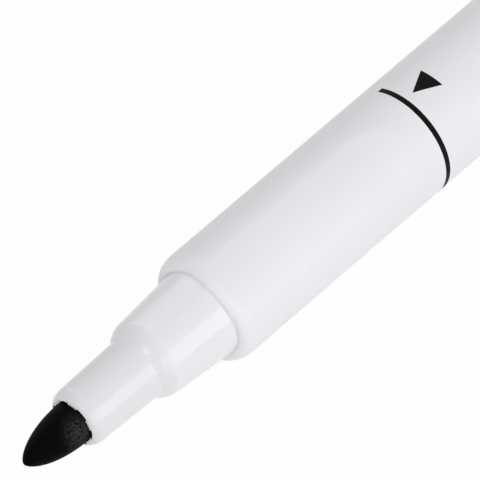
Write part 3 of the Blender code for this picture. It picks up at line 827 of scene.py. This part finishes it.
def clip_points():
    """Clip as sections along the axis, each with rounded outer edges.

    The outer face rounds down at both ends. The inner face carries a bead, a half sine, near the tip and
    sweeps down to the cap at the heel.
    """
    tip = quarter_round((clip_start, clip_outer - clip_tip_round), (clip_bead_start, clip_outer), steps=10)
    heel = quarter_round((clip_end, clip_outer - clip_heel_round),
                         (clip_end - clip_heel_round, clip_outer), steps=14)
    root = quarter_round((clip_heel, cap_end_radius), (clip_heel - clip_gap, clip_inner), steps=12)[::-1]
    x = np.unique(np.concatenate([
        tip[:, 0],
        np.linspace(clip_bead_start, clip_bead_end, num=30),
        np.linspace(clip_bead_end, root[0, 0], num=30),
        root[:, 0],
        heel[:, 0],
    ]))
    outer = np.interp(x, np.append(tip[:, 0], heel[::-1, 0]), np.append(tip[:, 1], heel[::-1, 1]))
    bead = np.clip((x - clip_bead_start) / clip_bead_length, 0.0, 1.0)
    inner = np.interp(x, root[:, 0], root[:, 1]) - clip_bead_depth * np.sin(math.pi * bead)
    inner = np.where(x > clip_heel, clip_foot, inner)
    half = 0.5 * np.interp(x, [clip_start, clip_end], [clip_tip_width, clip_root_width])
    x, outer, inner, half = x[:, None], outer[:, None], inner[:, None], half[:, None]
    edge = quarter_round((0.0, -clip_edge_round), (-clip_edge_round, 0.0), steps=8)
    side = np.concatenate([half + edge[:, 0], -half - edge[::-1, 0], -half, half], axis=1)
    out = np.concatenate([outer + edge[:, 1], outer + edge[::-1, 1], inner, inner], axis=1)
    y = axis_y - out * math.sin(clip_turn) + side * math.cos(clip_turn)
    z = axis_z + out * math.cos(clip_turn) + side * math.sin(clip_turn)
    return np.stack([np.broadcast_to(x, y.shape), y, z], axis=-1)


skin_piece("cap_clip", clip_points(), "flat", gloss_black, "cap")

# Studio: a pale floor that is seen as white and keeps a soft shadow, even light from all round, a main soft
# light from the nib's quarter, a weak one from the front, a tall one on the near side, and three cards that
# only show in reflections.
scene = bpy.context.scene
scene.view_settings.view_transform = "Standard"
floor_half = 1.5
floor_lift = 0.96
floor_tone = (0.9, 0.9, 0.9, 1.0)
wall_light = (0.335, 0.335, 0.335, 1.0)
ceiling_light = (0.803, 0.803, 0.803, 1.0)
plain_white = (1.0, 1.0, 1.0, 1.0)
light_distance = 1.0


def seen_directly(tree):
    """Mask that is 1 for rays from the camera, a reflection or a clear piece, and 0 for bounced light."""
    path = add_node(tree, "ShaderNodeLightPath")
    some = add_node(tree, "ShaderNodeMath", operation="MAXIMUM")
    every = add_node(tree, "ShaderNodeMath", operation="MAXIMUM")
    tree.links.new(path.outputs["Is Camera Ray"], some.inputs[0])
    tree.links.new(path.outputs["Is Glossy Ray"], some.inputs[1])
    tree.links.new(some.outputs[0], every.inputs[0])
    tree.links.new(path.outputs["Is Transmission Ray"], every.inputs[1])
    return every.outputs[0]


def pale_floor():
    """White paper that keeps a soft shadow, lifted towards plain white where it is seen directly."""
    material, tree, shader = new_material("pale_floor")
    tree.nodes.remove(shader)
    paper = add_node(tree, "ShaderNodeBsdfDiffuse", {"Color": floor_tone})
    glow = add_node(tree, "ShaderNodeEmission", {"Strength": 1.0})
    lift = add_node(tree, "ShaderNodeMath", {1: floor_lift}, operation="MULTIPLY")
    mix = add_node(tree, "ShaderNodeMixShader")
    tree.links.new(seen_directly(tree), lift.inputs[0])
    tree.links.new(lift.outputs[0], mix.inputs["Fac"])
    tree.links.new(paper.outputs[0], mix.inputs[1])
    tree.links.new(glow.outputs[0], mix.inputs[2])
    tree.links.new(mix.outputs[0], tree.nodes["Material Output"].inputs["Surface"])
    return material


def studio_world():
    """Light from all round that grows from walls to ceiling, and plain white where it is seen directly."""
    world = bpy.data.worlds.new("studio_light")
    world.use_nodes = True
    tree = world.node_tree
    around = tree.nodes["Background"]
    set_inputs(around, {"Strength": 1.0})
    way = add_node(tree, "ShaderNodeTexCoord")
    split = add_node(tree, "ShaderNodeSeparateXYZ")
    room = add_node(tree, "ShaderNodeMix", {"A": wall_light, "B": ceiling_light}, data_type="RGBA")
    white = add_node(tree, "ShaderNodeBackground", {"Strength": 1.0, "Color": plain_white})
    choose = add_node(tree, "ShaderNodeMixShader")
    tree.links.new(way.outputs["Generated"], split.inputs["Vector"])
    tree.links.new(split.outputs["Z"], room.inputs["Factor"])
    tree.links.new(room.outputs["Result"], around.inputs["Color"])
    tree.links.new(seen_directly(tree), choose.inputs["Fac"])
    tree.links.new(around.outputs[0], choose.inputs[1])
    tree.links.new(white.outputs[0], choose.inputs[2])
    tree.links.new(choose.outputs[0], tree.nodes["World Output"].inputs["Surface"])
    return world


def softbox(name, azimuth, elevation, width, height, power, roll=0.0, lights=True, mirrored=True):
    """Rectangular light aimed at the marker's nose.

    Azimuth runs from -Y towards +X, and the roll turns the rectangle in its own plane, all in degrees. One
    that lights nothing is a bright card for reflections, and one that isn't mirrored gives no highlight.
    """
    light = bpy.data.lights.new(name, "AREA")
    light.shape = "RECTANGLE"
    light.size = width
    light.size_y = height
    light.energy = power
    lamp = bpy.data.objects.new(name, light)
    lamp.visible_camera = False
    lamp.visible_diffuse = lights
    lamp.visible_glossy = mirrored
    a = math.radians(azimuth)
    e = math.radians(elevation)
    towards = Vector((math.sin(a) * math.cos(e), -math.cos(a) * math.cos(e), math.sin(e)))
    lamp.location = Vector((barrel_front, axis_y, axis_z)) + light_distance * towards
    level = towards.to_track_quat("Z", "Y")
    lamp.rotation_euler = (level @ Quaternion((0.0, 0.0, 1.0), math.radians(roll))).to_euler()
    scene.collection.objects.link(lamp)


floor_mesh = bpy.data.meshes.new("floor")
floor_mesh.from_pydata([(-floor_half, -floor_half, 0.0), (floor_half, -floor_half, 0.0),
                        (floor_half, floor_half, 0.0), (-floor_half, floor_half, 0.0)], [], [(0, 1, 2, 3)])
floor_mesh.materials.append(pale_floor())
floor = bpy.data.objects.new("floor", floor_mesh)
scene.collection.objects.link(floor)

scene.world = studio_world()
softbox("quarter_softbox", azimuth=-40.0, elevation=30.0, width=0.6, height=0.5, power=2.6, mirrored=False)
softbox("front_softbox", azimuth=-118.0, elevation=22.0, width=0.6, height=0.5, power=0.45, mirrored=False)
softbox("near_softbox", azimuth=20.0, elevation=19.5, width=0.5, height=0.67, power=1.7)
softbox("far_card", azimuth=155.56, elevation=37.47, width=0.18, height=1.3, power=0.93, roll=13.25,
        lights=False)
softbox("side_card", azimuth=-14.0, elevation=18.0, width=0.6, height=0.6, power=1.3, lights=False)
softbox("front_card", azimuth=-88.0, elevation=44.0, width=0.46, height=0.18, power=0.75, lights=False)

# Camera: a long lens that looks down on the nib and the printed end of the barrel. Its place is measured
# from the middle of the printed ring.
camera_azimuth = math.radians(-48.51)
camera_elevation = math.radians(48.81)
camera_lens = 572.65
camera_distance = 738.09 * mm
camera_left_of_ring = 15.596 * mm
camera_below_ring = 9.514 * mm
camera_data = bpy.data.cameras.new("camera")
camera_data.lens = camera_lens
camera = bpy.data.objects.new("camera", camera_data)
sin_a, cos_a = math.sin(camera_azimuth), math.cos(camera_azimuth)
sin_e, cos_e = math.sin(camera_elevation), math.cos(camera_elevation)
right = Vector((cos_a, sin_a, 0.0))
up = Vector((-sin_a * sin_e, cos_a * sin_e, cos_e))
back = Vector((sin_a * cos_e, -cos_a * cos_e, sin_e))
ring_point = Vector((ring_middle, axis_y, axis_z))
camera_place = ring_point - camera_left_of_ring * right - camera_below_ring * up + camera_distance * back
camera.matrix_world = Matrix.Translation(camera_place) @ Matrix((right, up, back)).transposed().to_4x4()
scene.collection.objects.link(camera)
scene.camera = camera
